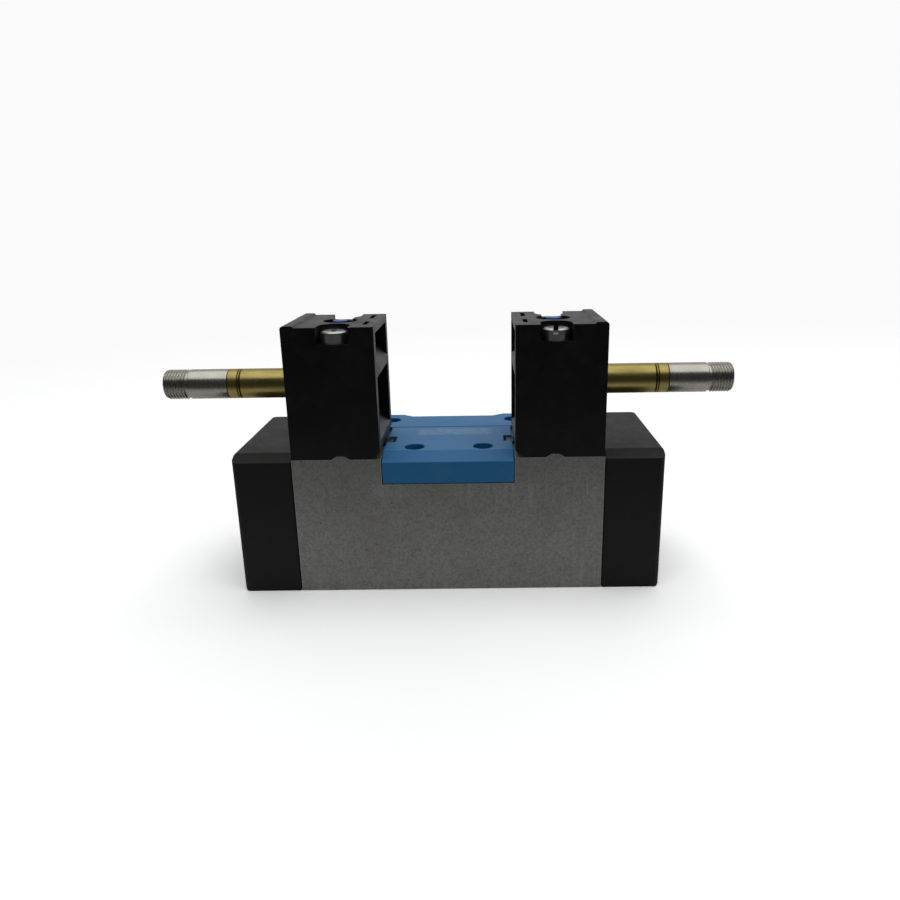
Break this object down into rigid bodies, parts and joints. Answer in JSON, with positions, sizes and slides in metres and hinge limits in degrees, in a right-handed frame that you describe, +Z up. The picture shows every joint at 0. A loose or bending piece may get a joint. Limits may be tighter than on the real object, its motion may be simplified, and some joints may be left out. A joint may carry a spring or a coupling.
{
  "type": "solenoid directional valve",
  "caption": "Double-solenoid 5/2-way spool valve for a sub-base, with two pilot valves, push-pin overrides and bare armature tubes.",
  "frame": {"origin": "middle of the mounting face that sits on the sub-base", "axes": "+X along the spool and the armature tubes, -Y towards the front, +Z up, away from the sub-base"},
  "size_m": [0.1492, 0.042, 0.0707],
  "materials": {
    "cast_aluminium": "fine-grained, ground and lightly tarnished",
    "anodised_aluminium": "smooth hard-anodised",
    "black_plastic": "matt moulded",
    "pilot_plastic": "satin moulded",
    "glass_filled_plastic": "matt moulded",
    "blue_plastic": "satin moulded",
    "override_blue": "satin moulded",
    "brass": "drawn, slightly dull",
    "stainless_steel": "turned",
    "zinc_steel": "bright zinc plated",
    "spring_steel": "drawn wire",
    "seal_rubber": "matt"
  },
  "bodies": {
    "valve": {"valve_body": "cast_aluminium", "port_gasket": "seal_rubber", "cover_plate": "blue_plastic", "spool_cages": "glass_filled_plastic", "spool_seals": "seal_rubber", "spool_guides": "glass_filled_plastic", "end_cap_left": "black_plastic", "end_cap_right": "black_plastic", "cap_gasket_left": "seal_rubber", "cap_gasket_right": "seal_rubber", "cap_screws_left": "zinc_steel", "cap_screws_right": "zinc_steel", "pilot_block_left": "pilot_plastic", "pilot_block_right": "pilot_plastic", "pilot_gasket_left": "seal_rubber", "pilot_gasket_right": "seal_rubber", "pilot_screws_left": "zinc_steel", "pilot_screws_right": "zinc_steel", "armature_tube_left": "brass", "armature_tube_right": "brass", "tube_seal_left": "seal_rubber", "tube_seal_right": "seal_rubber", "pole_piece_left": "stainless_steel", "pole_piece_right": "stainless_steel", "seat_nozzle_left": "brass", "seat_nozzle_right": "brass", "override_guide_left": "pilot_plastic", "override_guide_right": "pilot_plastic", "override_spring_left": "spring_steel", "override_spring_right": "spring_steel", "plunger_spring_left": "spring_steel", "plunger_spring_right": "spring_steel"},
    "spool_train": {"spool": "anodised_aluminium", "piston_left": "glass_filled_plastic", "piston_right": "glass_filled_plastic", "piston_seal_left": "seal_rubber", "piston_seal_right": "seal_rubber"},
    "plunger_left": {"plunger_left": "stainless_steel", "plunger_seal_left": "seal_rubber"},
    "override_left": {"override_button_left": "override_blue"},
    "plunger_right": {"plunger_right": "stainless_steel", "plunger_seal_right": "seal_rubber"},
    "override_right": {"override_button_right": "override_blue"}
  },
  "joints": [
    {"name": "spool_shift", "type": "slide", "parent": "valve", "child": "spool_train", "axis": [1, 0, 0], "range_m": [0, 0.005]},
    {"name": "plunger_lift_left", "type": "slide", "parent": "valve", "child": "plunger_left", "axis": [-1, 0, 0], "range_m": [0, 0.0008], "stiffness_N_per_m": 500, "springref_m": -0.003, "deforming": ["plunger_spring_left"]},
    {"name": "override_press_left", "type": "slide", "parent": "valve", "child": "override_left", "axis": [0, 0, -1], "range_m": [0, 0.0008], "stiffness_N_per_m": 400, "springref_m": -0.002, "deforming": ["override_spring_left"]},
    {"name": "plunger_lift_right", "type": "slide", "parent": "valve", "child": "plunger_right", "axis": [1, 0, 0], "range_m": [0, 0.0008], "stiffness_N_per_m": 500, "springref_m": -0.003, "deforming": ["plunger_spring_right"]},
    {"name": "override_press_right", "type": "slide", "parent": "valve", "child": "override_right", "axis": [0, 0, -1], "range_m": [0, 0.0008], "stiffness_N_per_m": 400, "springref_m": -0.002, "deforming": ["override_spring_right"]}
  ],
  "couplings": [
    {"joint": "override_press_left", "follows": "plunger_lift_left", "ratio": 1},
    {"joint": "override_press_right", "follows": "plunger_lift_right", "ratio": 1}
  ]
}
